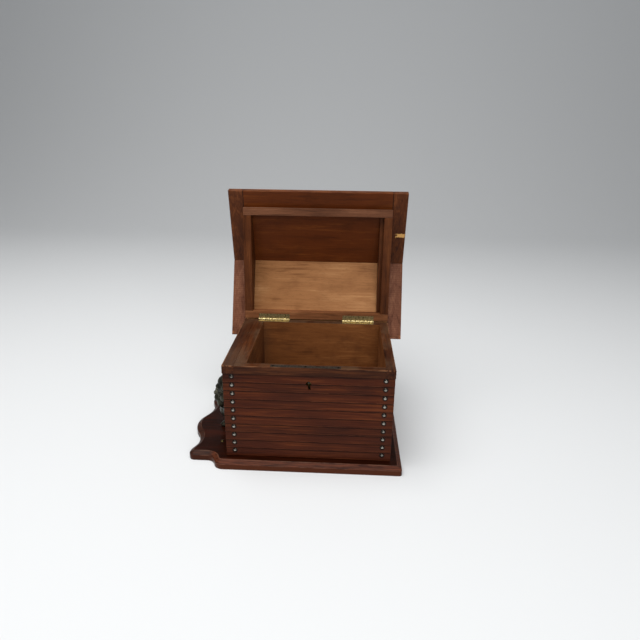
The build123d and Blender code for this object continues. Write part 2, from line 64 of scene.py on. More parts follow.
# %% Places read from the frame
plinth_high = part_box("plinth")[1]
case_low, case_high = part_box("left_outer_wall")
inner_low, inner_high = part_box("floor_board")
inner_board_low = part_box("left_inner_wall")[0]
siding_low_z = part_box("front_clapboard_10")[0].z
board_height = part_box("front_clapboard_09")[0].z - siding_low_z
rim_z = case_high.z
left_x = case_low.x
right_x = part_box("right_wall")[1].x
strip_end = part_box("lock_selvedge")[1].x
lid_joint = next(joint for joint in frame["joints"] if joint["name"] == "lid_hinge")
lid_pivot = Vector(lid_joint["pos_m"])
lid_angle = radians(lid_joint["range_deg"][1])
print("board height", board_height, "rim", rim_z, "lid opens by", degrees(lid_angle))

# %% [markdown]
# The photograph was taken from above the front, a little right of the middle,
# with an ordinary lens. The camera's place and direction were worked out from
# the corners of the case, and the sensor's width covers the square picture.

# %% Camera at the photograph's viewpoint
LENS_MM = 30.26
SENSOR_MM = 36.0
camera_place = Vector((36.2, -595.9, 379.7)) * MM
camera_right = Vector((0.99869, 0.05004, 0.01087))
camera_forward = Vector((-0.04298, 0.93444, -0.35351))
camera_up = camera_right.cross(camera_forward).normalized()
camera_data = bpy.data.cameras.new("camera")
camera_data.lens = LENS_MM
camera_data.sensor_width = SENSOR_MM
camera_data.clip_start = 0.01
camera_data.clip_end = 20.0
camera = bpy.data.objects.new("camera", camera_data)
bpy.context.scene.collection.objects.link(camera)
bpy.context.scene.camera = camera
turn = Matrix((camera_right, camera_up, -camera_forward)).transposed().to_4x4()
camera.matrix_world = Matrix.Translation(camera_place) @ turn
print("camera at", camera_place, "with a lens of", LENS_MM, "mm")

# %% [markdown]
# Every finish here is a network of nodes, and such a network is hard to read
# when it is written out one node at a time. So one small class lets a node's
# output take Python's arithmetic, and a second one holds a material together
# with the one method that adds nodes to it.

# %% Shader arithmetic written as Python
class Wire:
    """A node's output that takes Python arithmetic: each operation adds one Math node."""

    def __init__(self, finish, socket):
        self.finish = finish
        self.socket = socket

    def math(self, operation, *others, clamp=False):
        settings = {"operation": operation, "use_clamp": clamp}
        return self.finish.node("ShaderNodeMath", settings, [self, *others])

    def __add__(self, other):
        return self.math("ADD", other)

    def __sub__(self, other):
        return self.math("SUBTRACT", other)

    def __mul__(self, other):
        return self.math("MULTIPLY", other)

    def __truediv__(self, other):
        return self.math("DIVIDE", other)

    def __rsub__(self, other):
        return (self * -1.0) + other

    __radd__ = __add__
    __rmul__ = __mul__

    def above(self, limit):
        return self.math("GREATER_THAN", limit)

    def below(self, limit):
        return self.math("LESS_THAN", limit)

    def clamped(self):
        return self.math("ADD", 0.0, clamp=True)

    def ramp(self, start, end):
        """0 up to start, 1 from end on, smooth between them."""
        settings = {"interpolation_type": "SMOOTHSTEP"}
        inputs = {0: self, 1: start, 2: end, 3: 0.0, 4: 1.0}
        return self.finish.node("ShaderNodeMapRange", settings, inputs)


# %% A material and its nodes
class Finish:
    """A material and the one method that adds its nodes."""

    def __init__(self, name):
        self.material = bpy.data.materials.new(name)
        self.material.use_nodes = True
        self.tree = self.material.node_tree
        self.shader = self.tree.nodes["Principled BSDF"]

    def node(self, kind, settings=None, inputs=None, out=0):
        """Add a node, apply its settings, fill its sockets, and return one of its outputs."""
        made = self.tree.nodes.new(kind)
        for key, value in (settings or {}).items():
            setattr(made, key, value)
        pairs = inputs.items() if isinstance(inputs, dict) else enumerate(inputs or [])
        for key, value in pairs:
            self.feed(made.inputs[key], value)
        return Wire(self, made.outputs[out])

    def feed(self, socket, value):
        """Link a wire to a socket, or set a plain number or colour on it."""
        if isinstance(value, Wire):
            self.tree.links.new(value.socket, socket)
        elif hasattr(value, "__len__") and len(value) == 3 and socket.type == "RGBA":
            socket.default_value = (*value, 1.0)
        else:
            socket.default_value = value

    def mix(self, factor, first, second):
        """The first colour where the factor is 0, the second where it is 1."""
        settings = {"data_type": "RGBA", "blend_type": "MIX", "clamp_factor": True}
        return self.node("ShaderNodeMix", settings, {0: factor, 6: first, 7: second}, out=2)

    def place_mm(self):
        """The point on the object, in millimetres in the shared frame."""
        point = self.node("ShaderNodeTexCoord", out="Object")
        return self.node("ShaderNodeVectorMath", {"operation": "SCALE"}, {0: point, "Scale": 1 / MM})

    def axes(self, vector):
        """The three numbers of a vector."""
        separate = self.tree.nodes.new("ShaderNodeSeparateXYZ")
        self.tree.links.new(vector.socket, separate.inputs[0])
        return [Wire(self, socket) for socket in separate.outputs]

    def stretched(self, vector, size, offset=(0, 0, 0)):
        """The vector with each direction divided by its own size, so that one unit is one feature."""
        scale = tuple(1 / length for length in size)
        inputs = {"Vector": vector, "Location": offset, "Scale": scale}
        return self.node("ShaderNodeMapping", None, inputs)

    def noise(self, vector, detail=2.0, roughness=0.5, distortion=0.0):
        """Soft noise that stays mostly near a half."""
        inputs = {"Vector": vector, "Scale": 1.0, "Detail": detail}
        inputs.update({"Roughness": roughness, "Distortion": distortion})
        return self.node("ShaderNodeTexNoise", None, inputs)

    def bump(self, height, strength, distance_mm):
        """A surface direction that follows the height, whose unit stands for the distance."""
        inputs = {"Strength": strength, "Distance": distance_mm * MM, "Height": height}
        return self.node("ShaderNodeBump", None, inputs)

    def paint(self, **sockets):
        """Fill the surface shader's sockets, with underscores for the spaces in their names."""
        for name, value in sockets.items():
            self.feed(self.shader.inputs[name.replace("_", " ")], value)
        return self.material


# %% Colours as seen, and putting a finish on a piece
def linear(red, green, blue):
    """A colour as seen on screen, 0 to 255, as the linear light that shaders work in."""

    def channel(value):
        share = value / 255
        return share / 12.92 if share <= 0.04045 else ((share + 0.055) / 1.055) ** 2.4

    return (channel(red), channel(green), channel(blue))


def dress(piece, material):
    """Give the piece this material and no other."""
    piece.data.materials.clear()
    piece.data.materials.append(material)


print("a middle grey on screen is", linear(128, 128, 128)[0], "as light")

# %% [markdown]
# A product photograph has one broad soft light high above the object and weaker
# light from all round. The floor sweeps up behind the object without a corner,
# so the background stays plain, and it keeps the soft shadow. It is made from a
# plane: the far edge is pulled up and the corner that this leaves is rounded.
# Lengths are in metres here, and NEAR is how close to a place counts as at it.

# %% Studio floor
FLOOR_TONE = linear(220, 222, 224)
FLOOR_SIDE = 6.0
FLOOR_MIDDLE = (0, -0.6, 0)
BACKDROP_HEIGHT = 3.0
SWEEP_REACH = 1.2
NEAR = 0.1


def select_far_edge():
    """Select the edge at the far end of the flat floor, by its place in the floor's own mesh."""
    bpy.ops.object.mode_set(mode="EDIT")
    bpy.ops.mesh.select_all(action="DESELECT")
    bpy.ops.object.mode_set(mode="OBJECT")
    for edge in floor.data.edges:
        ends = [floor.data.vertices[index].co for index in edge.vertices]
        far = min(end.y for end in ends) > FLOOR_SIDE / 2 - NEAR
        edge.select = far and max(end.z for end in ends) < NEAR
    bpy.ops.object.mode_set(mode="EDIT")


bpy.ops.mesh.primitive_plane_add(size=FLOOR_SIDE, location=FLOOR_MIDDLE)
floor = bpy.context.object
floor.name = "studio_floor"
select_far_edge()
bpy.ops.mesh.extrude_region_move(TRANSFORM_OT_translate={"value": (0, 0, BACKDROP_HEIGHT)})
select_far_edge()
bpy.ops.mesh.bevel(offset=SWEEP_REACH, segments=24, profile=0.5)
bpy.ops.object.mode_set(mode="OBJECT")
bpy.ops.object.shade_smooth()
paper = Finish("studio_paper")
dress(floor, paper.paint(Base_Color=FLOOR_TONE, Roughness=0.85))
print("floor and backdrop in", len(floor.data.polygons), "faces")

# %% [markdown]
# The world gives the weak light from all round, one lamp above gives the soft
# shadow, and a smaller one in front keeps the clapboards from going dark. The
# Standard view shows this light without a film curve over it.

# %% World, lamps and view
WORLD_COLOUR = (0.96, 0.98, 1.0)
WORLD_STRENGTH = 0.21
world = bpy.data.worlds.new("studio_world")
bpy.context.scene.world = world
world.use_nodes = True
background = world.node_tree.nodes["Background"]
background.inputs["Color"].default_value = (*WORLD_COLOUR, 1.0)
background.inputs["Strength"].default_value = WORLD_STRENGTH
bpy.context.scene.view_settings.view_transform = "Standard"


def softbox(name, place, aim, size, watts, colour=(1.0, 1.0, 1.0)):
    """A rectangular area lamp at a place in metres, turned towards a point."""
    lamp = bpy.data.lights.new(name, "AREA")
    lamp.shape = "RECTANGLE"
    lamp.size, lamp.size_y = size
    lamp.energy = watts
    lamp.color = colour
    holder = bpy.data.objects.new(name, lamp)
    bpy.context.scene.collection.objects.link(holder)
    direction = Vector(aim) - Vector(place)
    holder.location = place
    holder.rotation_mode = "QUATERNION"
    holder.rotation_quaternion = direction.to_track_quat("-Z", "Y")


warm_white = (1.0, 0.99, 0.97)
softbox("overhead", (-0.25, -0.35, 1.5), (0, 0, 0.1), (1.8, 1.4), watts=31.5, colour=warm_white)
softbox("front_fill", (0.5, -1.6, 0.9), (0, 0, 0.12), (1.2, 0.8), watts=8.25)
print("lamps", [lamp.name for lamp in bpy.data.lights])

# %% [markdown]
# Mahogany is long-grained: colour and pores run in streaks along the board. So
# each noise is pulled out along the board. The broadest makes the tone drift,
# the next gives the light and dark figure, a finer one the streaks, and the
# finest the short dark pores. Streaks and pores also shape the surface. The
# same function makes every wood here, and each wood adds its own wear.

# %% Mahogany
WARP_MM = (90.0, 30.0, 30.0)
FIGURE_LENGTH_MM = 70.0
STREAK_MM = (38.0, 1.3, 1.3)
PORE_MM = (6.0, 0.33, 0.33)
PORE_SHADE = 0.35
WOOD_SHEEN = 0.08


def mahogany(finish, along, tones, figure_mm=5.0, seed=0.0, contrast=1.0):
    """Colour, bump height and figure; the grain runs along the first axis of the given vector."""
    dark, middle, light = tones
    figure_size = (FIGURE_LENGTH_MM, figure_mm, figure_mm)
    warp = finish.noise(finish.stretched(along, WARP_MM, (seed, 0, 0)), 1.0)
    figure = finish.noise(finish.stretched(along, figure_size, (seed, seed, 0)), 4.0, 0.62, 0.6)
    streak = finish.noise(finish.stretched(along, STREAK_MM, (0, seed, seed)), 3.0, 0.6, 0.2)
    pores = finish.noise(finish.stretched(along, PORE_MM, (seed, 0, seed)), 1.0, 0.4)
    body = (figure - 0.5) * contrast * 1.5 + (streak - 0.5) * contrast * 0.9
    body = (body + (warp - 0.5) * 0.7 + 0.5).clamped()
    lower = finish.mix(body.ramp(0.12, 0.5), dark, middle)
    colour = finish.mix(body.ramp(0.5, 0.92), lower, light)
    pore = pores.ramp(0.60, 0.72)
    colour = finish.mix(pore * PORE_SHADE, colour, tuple(part * PORE_SHADE for part in dark))
    height = streak * 0.6 - pore * 0.8
    return colour, height, figure


# %% [markdown]
# The clapboards are the face of the box: reddish, waxed, a little different from
# board to board. The lower arris of each board is painted pale, where hands have
# rubbed it and as a painted highlight; the top of each board, under the next one,
# is painted dark, dirt and painted shade together; and a ring of painted shade is
# put round each tack.
# The board's number and the height within it come from the point's height, so
# one material serves all the boards of a wall.

# %% Siding finish
siding_tones = (linear(33, 11, 5), linear(67, 29, 13), linear(100, 50, 23))
TACK_RADIUS = 2.4
BOARD_SHIFT = 37.7
front_tacks_low, front_tacks_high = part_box("front_nails")
right_tacks_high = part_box("right_nails")[1]
tack_column = (front_tacks_high.x / MM - TACK_RADIUS, right_tacks_high.y / MM - TACK_RADIUS)
tack_height = (front_tacks_low.z / MM + TACK_RADIUS - siding_low_z / MM) / (board_height / MM)
print("tacks stand at", tack_height, "of a board's height")


def siding_finish(name, grain_axis):
    """Waxed mahogany boards; grain_axis is 0 where the wall runs along X and 1 where it runs along Y."""
    finish = Finish(name)
    place = finish.place_mm()
    x, y, z = finish.axes(place)
    course = (z - siding_low_z / MM) / (board_height / MM)
    number = course.math("FLOOR")
    within = course - number
    shift = number * BOARD_SHIFT
    run = (x if grain_axis == 0 else y) + shift
    across = y if grain_axis == 0 else x
    along = finish.node("ShaderNodeCombineXYZ", None, [run, across, z])
    colour, height, figure = mahogany(finish, along, siding_tones, figure_mm=3.0, contrast=0.95)
    tint = finish.node("ShaderNodeTexWhiteNoise", {"noise_dimensions": "1D"}, {"W": number + 0.5})
    colour = finish.mix(tint * 0.30, colour, linear(80, 33, 17))
    # The lower arris of each board is painted pale: rubbing and a painted highlight.
    breaks = finish.noise(finish.stretched(along, (14.0, 40.0, 40.0)), 3.0, 0.6)
    arris = within.ramp(0.13, 0.05) * breaks.ramp(0.38, 0.58)
    colour = finish.mix(arris * 0.5, colour, linear(116, 66, 40))
    # The top of each board, under the next one, is painted dark: dirt and painted shade.
    groove_shade_and_dirt = within.ramp(0.84, 0.98)
    colour = finish.mix(groove_shade_and_dirt * 0.85, colour, linear(16, 7, 6))
    # A dark ring of painted shade goes round each tack.
    beside = ((x if grain_axis == 0 else y).math("ABSOLUTE") - tack_column[grain_axis]) / TACK_RADIUS
    under = (within - tack_height) * (board_height / MM / TACK_RADIUS)
    ring = (beside * beside + under * under).ramp(2.4, 1.1)
    colour = finish.mix(ring * 0.8, colour, linear(18, 9, 7))
    smoke = finish.noise(finish.stretched(place, (60.0, 60.0, 45.0)), 2.0)
    colour = finish.mix(smoke.ramp(0.42, 0.72) * 0.35, colour, linear(44, 20, 13))
    rough = figure * 0.22 + 0.30 + groove_shade_and_dirt * 0.2
    return finish.paint(
        Base_Color=colour,
        Roughness=rough,
        Normal=finish.bump(height, 0.35, 0.25),
        Coat_Weight=(1 - groove_shade_and_dirt) * 0.03,
        Coat_Roughness=0.28,
        Specular_IOR_Level=WOOD_SHEEN,
    )


# %% Siding on the clapboards
long_siding = siding_finish("siding_front_and_back", 0)
short_siding = siding_finish("siding_ends", 1)
clapboards = [name for name in nodes if "clapboard" in name]
for name in clapboards:
    dress(nodes[name], short_siding if name.startswith(("left", "right")) else long_siding)
print(len(clapboards), "clapboard nodes dressed")

# %% [markdown]
# The case boards are polished outside and bare inside, where the wood has kept a
# warmer, lighter colour. Which side a point lies on comes from its place. The
# rim is rubbed where the lid has been shut on it for years, and it has gathered
# dust, as has the inside towards the left end.

# %% Case finish
case_outside_tones = (linear(29, 10, 4), linear(58, 28, 13), linear(84, 45, 22))
case_inside_tones = (linear(77, 42, 20), linear(120, 72, 37), linear(154, 100, 57))
INSIDE_MARGIN = 0.1
RIM_SKIN = 0.05
ARRIS_REACH = 1.6
ARRIS_FULL = 0.4


def case_finish(name, grain_axis):
    """Polished outside, bare inside, rubbed on the rim."""
    finish = Finish(name)
    place = finish.place_mm()
    x, y, z = finish.axes(place)
    order = [x, y, z] if grain_axis == 0 else [y, x, z]
    along = finish.node("ShaderNodeCombineXYZ", None, order)
    outside, height, figure = mahogany(finish, along, case_outside_tones, figure_mm=3.5)
    inside, _, _ = mahogany(finish, along, case_inside_tones, figure_mm=9.0, seed=5.0, contrast=0.5)
    within_x = x.above(inner_low.x / MM - INSIDE_MARGIN) * x.below(inner_high.x / MM + INSIDE_MARGIN)
    within_y = y.above(inner_low.y / MM - INSIDE_MARGIN) * y.below(inner_high.y / MM + INSIDE_MARGIN)
    indoors = within_x * within_y
    stain = finish.noise(finish.stretched(place, (30.0, 30.0, 22.0), (0.4, 0, 0.2)), 3.0, 0.6)
    inside = finish.mix(stain.ramp(0.45, 0.75) * 0.6, inside, linear(84, 48, 26))
    colour = finish.mix(indoors, outside, inside)
    rim = z.above(rim_z / MM - RIM_SKIN)
    scuff = finish.noise(finish.stretched(along, (24.0, 3.0, 3.0)), 4.0, 0.65)
    colour = finish.mix(rim * scuff.ramp(0.52, 0.74) * 0.3, colour, linear(112, 72, 44))
    dust = finish.noise(finish.stretched(place, (26.0, 40.0, 20.0), (0.2, 0.6, 0)), 3.0, 0.6)
    colour = finish.mix(rim * dust.ramp(0.35, 0.65) * 0.45, colour, linear(92, 72, 54))
    outer_board = x.below(inner_board_low.x / MM)
    colour = finish.mix(rim * outer_board * 0.4, colour, linear(50, 25, 13))
    haze = indoors * x.ramp(left_x / MM * 0.55, left_x / MM * 0.85)
    colour = finish.mix(haze * 0.3, colour, linear(84, 66, 50))
    outer_x = x.math("ABSOLUTE").ramp(right_x / MM - ARRIS_REACH, right_x / MM - ARRIS_FULL)
    outer_y = y.math("ABSOLUTE").ramp(case_high.y / MM - ARRIS_REACH, case_high.y / MM - ARRIS_FULL)
    rubbed = (outer_x + outer_y).clamped() * z.ramp(rim_z / MM - 1.5, rim_z / MM - 0.3)
    beside_strip = x.math("ABSOLUTE").ramp(strip_end / MM - 6.0, strip_end / MM + 2.0)
    rubbed = rubbed * (beside_strip + y.above(0.0)).clamped()
    colour = finish.mix(rubbed * scuff.ramp(0.40, 0.60) * 0.55, colour, linear(146, 100, 68))
    rough = indoors * 0.3 + figure * 0.2 + 0.28
    return finish.paint(
        Base_Color=colour,
        Roughness=rough,
        Normal=finish.bump(height, 0.3, 0.25),
        Coat_Weight=(1 - indoors) * 0.03,
        Coat_Roughness=0.3,
        Specular_IOR_Level=WOOD_SHEEN,
    )


# %% Case finish on the walls and the floor board
long_case = case_finish("case_long_grain", 0)
short_case = case_finish("case_end_walls", 1)
for name in ("front_wall", "back_wall", "floor_board"):
    dress(nodes[name], long_case)
for name in ("left_outer_wall", "left_inner_wall", "right_wall", "doorway_surround"):
    dress(nodes[name], short_case)
print("case finish has", len(long_case.node_tree.nodes), "nodes")

# %% [markdown]
# The plinth is darker, with a polish that has gone cloudy. Its vertical edge is
# rubbed to a lighter, warmer brown. Its bevel is painted lighter and pinker, from
# rubbing and as a painted sheen where it faces the light, and the arrises between
# them paler still, wear and a painted highlight. Round the yard, where the bevel
# faces away from the light, it is painted dark as painted shade.

# %% Plinth finish
plinth_tones = (linear(14, 3, 0), linear(33, 9, 2), linear(56, 19, 6))
BEVEL_FOOT = 6.4
FADE = 0.3


def plinth_finish():
    """Dark cloudy polish, rubbed on the bevel, the edge and the arrises, with painted sheen on the bevel,
    painted highlight on the arrises and painted shade round the yard.
    """
    finish = Finish("plinth_polish")
    place = finish.place_mm()
    x, _, z = finish.axes(place)
    colour, height, figure = mahogany(finish, place, plinth_tones, figure_mm=7.0, seed=2.0)
    top = plinth_high.z / MM
    on_bevel = z.ramp(BEVEL_FOOT - FADE, BEVEL_FOOT + FADE) * z.below(top - 0.05)
    # The bevel is painted lighter and pinker: rubbing and a painted sheen where it faces the light.
    haze = finish.noise(finish.stretched(place, (26.0, 3.0, 1.2)), 3.0, 0.65)
    colour = finish.mix(on_bevel * haze.ramp(0.3, 0.7) * 0.85, colour, linear(100, 52, 32))
    # Round the yard the bevel is painted dark and the edge less light: painted shade where they face away
    # from the light.
    yard_shade_side = x.ramp(left_x / MM - 14.0, left_x / MM - 24.0)
    colour = finish.mix(on_bevel * yard_shade_side * 0.6, colour, linear(30, 20, 16))
    on_edge = z.ramp(BEVEL_FOOT + FADE, BEVEL_FOOT - FADE)
    colour = finish.mix(on_edge * 0.6 * (1 - yard_shade_side * 0.5), colour, linear(92, 46, 24))
    # The arrises are painted paler: wear and a painted highlight.
    upper_arris = on_bevel * z.ramp(top - 0.9, top - 0.2)
    lower_arris = z.ramp(BEVEL_FOOT - 0.5, BEVEL_FOOT) * z.ramp(BEVEL_FOOT + 0.6, BEVEL_FOOT)
    arris = upper_arris + lower_arris
    worn = finish.noise(finish.stretched(place, (12.0, 12.0, 30.0)), 3.0, 0.6)
    colour = finish.mix((arris * worn.ramp(0.4, 0.6)).clamped() * 0.4, colour, linear(118, 82, 62))
    rough = figure * 0.2 + 0.22 + on_bevel * 0.15
    return finish.paint(
        Base_Color=colour,
        Roughness=rough,
        Normal=finish.bump(height, 0.2, 0.2),
        Coat_Weight=0.02,
        Coat_Roughness=0.18,
        Specular_IOR_Level=WOOD_SHEEN,
    )


dress(nodes["plinth"], plinth_finish())
print("plinth top at", plinth_high.z)

# %% [markdown]
# The lid is drawn here in its open place, so its wood is worked out in the
# closed place: the point is turned back about the hinge line first. What looks
# out over the roof is polished on every piece. Underneath, the two roof boards
# are bare wood: the front one is painted much darker, painted shade where it
# faces away from the light, and the rear one lighter, painted light where it
# faces up. The front verges are polished, and the rear ones are a rosy wood that
# shows the saw, painted lighter too as painted light. Ends and eaves have worn.

# %% The closed lid's roof line
SLOPE_ROUNDING = 5
closing = Matrix.Rotation(lid_angle, 3, "X")


def closed_place(vertex):
    """Where a point of the lid lies once the lid is turned shut, in metres."""
    return closing @ (vertex.co - lid_pivot) + lid_pivot


verge_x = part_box("verge_front_right")[1].x / MM
verge_points = [closed_place(vertex) for vertex in nodes["verge_front_right"].data.vertices]
front_eave_y = max(abs(point.y) / MM for point in verge_points)
gable_points = [closed_place(vertex) for vertex in nodes["lid_right_gable"].data.vertices]
apex = max(gable_points, key=lambda point: point.z)
shoulder = max(gable_points, key=lambda point: (round(abs(point.y), SLOPE_ROUNDING), point.z))
roof_slope = (apex.z - shoulder.z) / (abs(shoulder.y) - abs(apex.y))
roof_underside = apex.z / MM + abs(apex.y) / MM * roof_slope
print("verge ends at x", verge_x, "front eave at y", -front_eave_y, "slope", roof_slope)

# %% Lid finish
polished_tones = (linear(43, 18, 7), linear(80, 40, 17), linear(109, 60, 30))
SAW_PITCH = 2.8


def lid_finish(
    name, tones, grain_axis, rough_base, coat, seed, saw=0.0, chip=None, contrast=0.9, covers=True
):
    """Wood of the lid; saw is how dark its saw marks are, and covers says that it lies on the gables."""
    finish = Finish(name)
    place = finish.place_mm()
    closed = finish.node(
        "ShaderNodeVectorRotate",
        {"rotation_type": "X_AXIS"},
        {"Vector": place, "Center": tuple(part / MM for part in lid_pivot), "Angle": lid_angle},
    )
    x, y, z = finish.axes(closed)
    order = [x, y, z] if grain_axis == 0 else [y, x, z]
    along = finish.node("ShaderNodeCombineXYZ", None, order)
    colour, height, figure = mahogany(finish, along, tones, figure_mm=6.0, seed=seed, contrast=contrast)
    over_roof = (z + y.math("ABSOLUTE") * roof_slope - roof_underside).ramp(0.6, 1.6)
    polish, _, _ = mahogany(finish, along, polished_tones, figure_mm=5.0, seed=seed + 2)
    outer_end = 0.0 if covers else x.math("ABSOLUTE").ramp(right_x / MM - 0.6, right_x / MM - 0.2)
    colour = finish.mix(over_roof + outer_end, colour, polish)
    stain = finish.noise(finish.stretched(closed, (34.0, 20.0, 30.0), (seed, 0, 0)), 3.0, 0.6)
    colour = finish.mix(stain.ramp(0.45, 0.75) * 0.35, colour, tones[0])
    if saw:
        marks = (y * (2 * pi / SAW_PITCH)).math("SINE")
        colour = finish.mix((marks * 0.5 + 0.5) * saw * (1 - over_roof), colour, tones[0])
        height = height + marks * 0.5 * (1 - over_roof)
    if chip:
        chip_x, chip_y, half_x, half_y = chip
        across = ((x - chip_x) / half_x).math("ABSOLUTE")
        down = ((y - chip_y) / half_y).math("ABSOLUTE")
        ragged = finish.noise(finish.stretched(closed, (2.2, 2.2, 2.2)), 3.0)
        inside = (across.math("MAXIMUM", down) + ragged * 1.4).below(1.45) * (1 - over_roof)
        colour = finish.mix(inside * 0.85, colour, linear(222, 170, 100))
    if covers:
        joint = (x.math("ABSOLUTE") - right_x / MM).math("ABSOLUTE")
        colour = finish.mix(joint.ramp(0.8, 0.25) * 0.8, colour, linear(16, 8, 5))
    at_end = x.math("ABSOLUTE").ramp(verge_x - 3.5, verge_x - 0.8)
    at_eave = y.math("ABSOLUTE").ramp(front_eave_y - 4.0, front_eave_y - 1.0)
    torn = finish.noise(finish.stretched(closed, (13.0, 5.0, 2.2), (7.0, 0, 0)), 3.0, 0.6)
    worn = (at_end * 0.08 + at_eave * 0.3 + at_end * at_eave * 0.6) * torn.ramp(0.38, 0.66)
    colour = finish.mix(worn.clamped() * 0.75, colour, linear(160, 102, 60))
    return finish.paint(
        Base_Color=colour,
        Roughness=figure * 0.2 + rough_base,
        Normal=finish.bump(height, 0.3, 0.25),
        Coat_Weight=coat,
        Coat_Roughness=0.3,
        Specular_IOR_Level=WOOD_SHEEN,
    )


# %% [markdown]
# Each part of the lid has its own wood. The pale chip is a splinter broken out
# under the right front verge: its middle across and back, and half its size.

# %% The lid's woods
# The rear roof board's tones are painted light and the front board's darker tones painted shade.
lit_bare_tones = (linear(106, 65, 35), linear(152, 104, 65), linear(181, 132, 88))
shaded_bare_tones = (linear(56, 24, 6), linear(87, 40, 12), linear(114, 60, 22))
front_rail_tones = (linear(60, 34, 21), linear(96, 59, 39), linear(122, 80, 56))
rear_rail_tones = (linear(76, 44, 25), linear(119, 73, 44), linear(150, 99, 64))
side_rail_tones = (linear(50, 22, 7), linear(80, 41, 17), linear(102, 57, 27))
# The rear verges' rosy tones are also painted lighter: painted light where they face up when the lid is open.
lit_rosy_tones = (linear(77, 42, 27), linear(114, 71, 52), linear(140, 94, 70))
pale_chip = (107.6, -38.6, 7.4, 3.1)
lid_woods = {
    "roof_front_board": lid_finish("lid_front_board", shaded_bare_tones, 0, 0.42, 0.03, 1.0, contrast=0.55),
    "roof_rear_board": lid_finish("lid_rear_board", lit_bare_tones, 0, 0.45, 0.0, 8.0, contrast=0.6),
    "lid_front_rail": lid_finish("lid_front_rail", front_rail_tones, 0, 0.36, 0.05, 3.0, covers=False),
    "lid_rear_rail": lid_finish("lid_rear_rail", rear_rail_tones, 0, 0.36, 0.05, 9.0, covers=False),
    "cross": lid_finish("lid_side_rails", side_rail_tones, 1, 0.36, 0.05, 6.0, covers=False),
    "verge_front": lid_finish("lid_front_verges", polished_tones, 1, 0.34, 0.05, 4.0, chip=pale_chip),
    "verge_rear": lid_finish("lid_rear_verges", lit_rosy_tones, 1, 0.4, 0.02, 7.0, saw=0.24),
}
for name, node in nodes.items():
    if name in lid_woods:
        dress(node, lid_woods[name])
    elif name.startswith("lid_"):
        dress(node, lid_woods["cross"])
    elif name.startswith("verge"):
        dress(node, lid_woods[name.rsplit("_", 1)[0]])
print(len(lid_woods), "woods on the lid")

# %% [markdown]
# Metals are told apart by colour, by how rough they are and by what has settled
# on them. The hinges are old brass, pitted and half tarnished; the tacks are
# dark steel domes, each worn bright to its own degree on the crown, which is also
# painted bright as a highlight; the lock strip on the rim has gone almost black.
# The lock's works and plate and the key pin behind the keyhole are painted dark,
# as painted shade, so that the keyhole reads black.

# %% Metal finishes
def old_metal(name, clean, tarnish, rough, spot_mm, cover, pit=0.3, metallic=1.0):
    """Metal with tarnish in patches: the higher the cover, the more of it is tarnished."""
    finish = Finish(name)
    place = finish.place_mm()
    patches = finish.noise(finish.stretched(place, (spot_mm,) * 3), 4.0, 0.65)
    grain = finish.noise(finish.stretched(place, (spot_mm / 5,) * 3, (2, 5, 1)), 2.0)
    dull = patches.ramp(1 - cover - 0.12, 1 - cover + 0.12)
    colour = finish.mix(dull, clean, tarnish)
    return finish.paint(
        Base_Color=colour,
        Metallic=metallic,
        Roughness=dull * 0.25 + grain * 0.15 + rough,
        Normal=finish.bump(grain + patches * 0.6, pit, 0.15),
    )


def tack_finish(name, axis, crown_mm):
    """A dark domed tack, worn bright and painted bright as a highlight on its crown, which is crown_mm out
    along the wall's own axis.
    """
    finish = Finish(name)
    place = finish.place_mm()
    depth = crown_mm - finish.axes(place)[axis].math("ABSOLUTE")
    age = finish.noise(finish.stretched(place, (1.4, 1.4, 1.4)), 3.0, 0.6)
    wear = finish.noise(finish.stretched(place, (9.0, 9.0, 7.0), (3.3, 1.1, 0.4)), 1.0)
    # The crown is painted bright: wear and a painted highlight.
    crown = depth.ramp(0.54, 0.08) * (age * 0.7 + 0.4) * wear.ramp(0.26, 0.52)
    return finish.paint(
        Base_Color=finish.mix(crown.clamped(), linear(50, 46, 42), linear(186, 182, 172)),
        Metallic=0.9,
        Roughness=age * 0.1 + 0.1,
        Normal=finish.bump(age, 0.1, 0.1),
    )


# %% The metals, and which piece is made of which
bright_brass = (linear(196, 178, 130), linear(94, 80, 50))
brown_brass = (linear(92, 78, 44), linear(38, 31, 20))
# The plate, lock and pin colours are painted dark: painted shade for the inside of the keyhole.
shaded_plate_brass = (linear(128, 108, 66), linear(66, 54, 32))
lock_brass = (linear(48, 40, 26), linear(20, 17, 12))
screw_steel = (linear(150, 148, 144), linear(70, 64, 58))
shaded_pin_steel = (linear(88, 86, 82), linear(34, 31, 28))
black_strip = (linear(46, 40, 31), linear(27, 22, 17))
metals = {
    "tack_long": tack_finish("tack_steel_front_and_back", 1, -front_tacks_low.y / MM),
    "tack_ends": tack_finish("tack_steel_ends", 0, right_tacks_high.x / MM),
    "hinge": old_metal("hinge_brass", *bright_brass, 0.26, 2.0, 0.48, pit=0.6),
    "yard_tack": old_metal("yard_tack_brass", *brown_brass, 0.26, 1.2, 0.5, pit=0.2),
    "screw": old_metal("screw_steel", *screw_steel, 0.3, 1.5, 0.5),
    "pin": old_metal("shaded_pin_steel", *shaded_pin_steel, 0.42, 1.5, 0.5),
    "strip": old_metal("lock_strip", *black_strip, 0.42, 3.0, 0.5, metallic=0.3),
    "lock_plate": old_metal("lock_plate_brass", *shaded_plate_brass, 0.36, 5.0, 0.5),
    "lock": old_metal("lock_brass", *lock_brass, 0.5, 5.0, 0.6),
}
metal_of = {
    "case_screws": "screw",
    "figure_screws": "screw",
    "key_pin": "pin",
    "lock_selvedge": "strip",
    "yard_tacks": "yard_tack",
    "lock_cap": "lock_plate",
}
for name, node in nodes.items():
    kind = metal_of.get(name)
    if kind is None and "nails" in name:
        kind = "tack_ends" if name.startswith(("left", "right")) else "tack_long"
    if kind is None and "hinge" in name:
        kind = "hinge"
    if kind is None and name.startswith(("lock_", "selvedge")):
        kind = "lock"
    if kind:
        dress(node, metals[kind])
